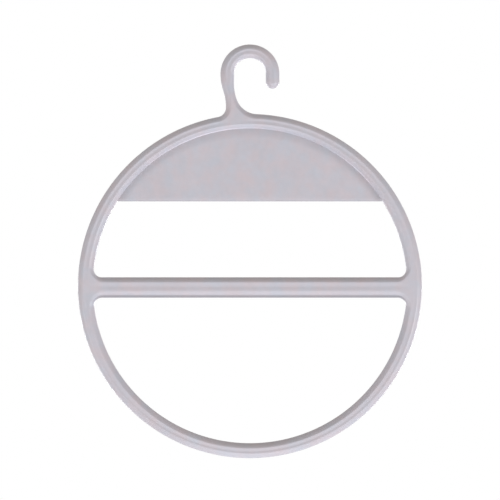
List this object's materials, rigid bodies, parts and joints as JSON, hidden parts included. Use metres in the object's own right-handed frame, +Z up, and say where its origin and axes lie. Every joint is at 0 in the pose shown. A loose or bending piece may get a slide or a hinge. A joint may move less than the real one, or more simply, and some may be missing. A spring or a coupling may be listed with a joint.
{
  "type": "scarf hanger",
  "caption": "Flat ring-shaped plastic scarf hanger with an open hook, a crossbar for the scarf and a thin recessed panel across the top of the ring.",
  "frame": {"origin": "the rail seat: the highest point of the space inside the hook, in the mid-plane of the moulding", "axes": "+Z up as the hanger hangs, +X to the right seen from the front, with the hook's tip on the right, and +Y from the front face to the back face, through the thickness"},
  "size_m": [0.22, 0.008, 0.2645],
  "materials": {
    "moulded_plastic": "satin, finely textured, pale lavender grey"
  },
  "bodies": {
    "root": {"lower_rim": "moulded_plastic", "upper_rim_left": "moulded_plastic", "upper_rim_right": "moulded_plastic", "left_bar_root": "moulded_plastic", "right_bar_root": "moulded_plastic", "crossbar": "moulded_plastic", "label_panel": "moulded_plastic", "hook_root": "moulded_plastic", "hook_bow": "moulded_plastic", "hook_tip": "moulded_plastic"}
  },
  "joints": []
}
